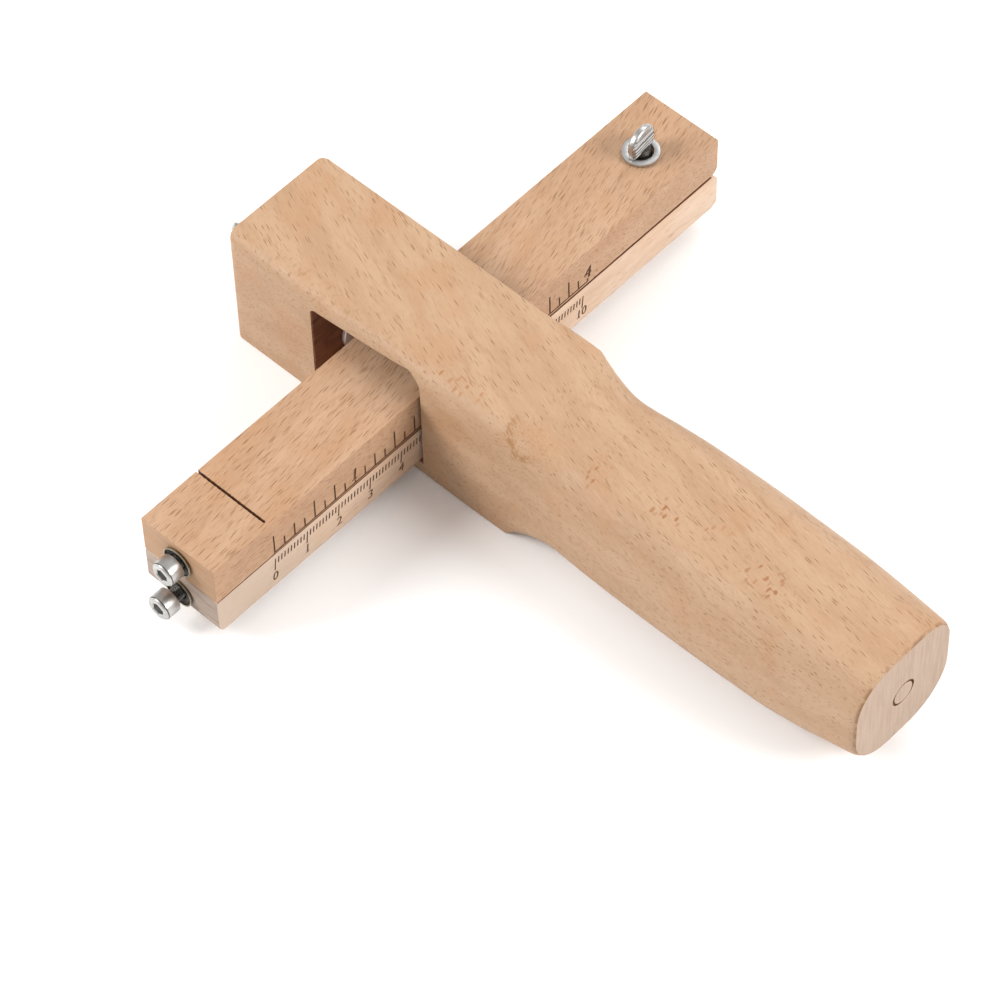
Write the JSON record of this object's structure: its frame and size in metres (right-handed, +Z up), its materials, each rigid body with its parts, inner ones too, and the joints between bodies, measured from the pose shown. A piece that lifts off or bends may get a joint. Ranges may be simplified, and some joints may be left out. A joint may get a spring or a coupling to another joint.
{
  "type": "strap cutter",
  "caption": "Hand strap cutter: wooden handle, graduated two-bar crossbar, blade clamped in a saw kerf, spade-head thumbscrews.",
  "frame": {"origin": "on the handle head's flat underside, straight below the middle of the crossbar's width where it crosses the handle", "axes": "+Z up; +Y along the handle from the butt to the head's end; +X along the crossbar from the blade end to the thickness thumbscrew end"},
  "size_m": [0.1712, 0.2005, 0.0365],
  "materials": {
    "handle_wood": "oiled beech with fine dark flecks, satin",
    "upper_bar_wood": "oiled beech with fine dark flecks, engraved inch scale, satin",
    "lower_bar_wood": "pale beech, engraved centimetre scale, satin",
    "zinc_steel": "bright zinc plated",
    "blade_steel": "ground and polished"
  },
  "bodies": {
    "handle": {"handle": "handle_wood", "lock_tee_nut": "zinc_steel"},
    "crossbar": {"lower_bar": "lower_bar_wood", "lower_clamp_insert": "zinc_steel", "thickness_insert": "zinc_steel"},
    "top_bar": {"upper_bar": "upper_bar_wood", "upper_clamp_insert": "zinc_steel", "thickness_washer": "zinc_steel"},
    "thickness_screw": {"thickness_thumbscrew": "zinc_steel"},
    "lock_screw": {"lock_thumbscrew": "zinc_steel"},
    "upper_clamp": {"upper_clamp_screw": "zinc_steel"},
    "lower_clamp": {"lower_clamp_screw": "zinc_steel"},
    "blade": {"blade": "blade_steel"}
  },
  "joints": [
    {"name": "crossbar_slide", "type": "slide", "parent": "handle", "child": "crossbar", "axis": [1, 0, 0], "range_m": [-0.049, 0.044]},
    {"name": "thickness_lift", "type": "slide", "parent": "crossbar", "child": "top_bar", "axis": [0, 0, 1], "range_m": [0, 0.004]},
    {"name": "thickness_screw_turn", "type": "hinge", "parent": "top_bar", "child": "thickness_screw", "pos_m": [0.07, -0.0007, 0.0286], "axis": [0, 0, 1], "range_deg": [0, 1800]},
    {"name": "lock_screw_turn", "type": "hinge", "parent": "handle", "child": "lock_screw", "pos_m": [0.0005, 0.0555, 0.013], "axis": [0, 1, 0], "range_deg": [-810, 0]},
    {"name": "upper_clamp_turn", "type": "hinge", "parent": "top_bar", "child": "upper_clamp", "pos_m": [-0.0792, 0, 0.021], "axis": [1, 0, 0], "range_deg": [-1530, 0]},
    {"name": "lower_clamp_turn", "type": "hinge", "parent": "crossbar", "child": "lower_clamp", "pos_m": [-0.0792, 0.0008, 0.0092], "axis": [1, 0, 0], "range_deg": [-90, 1530]},
    {"name": "blade_slide", "type": "slide", "parent": "crossbar", "child": "blade", "axis": [0, 1, 0], "range_m": [0, 0.022]}
  ],
  "couplings": [
    {"joint": "thickness_screw_turn", "follows": "thickness_lift", "rad_per_m": 7854}
  ]
}
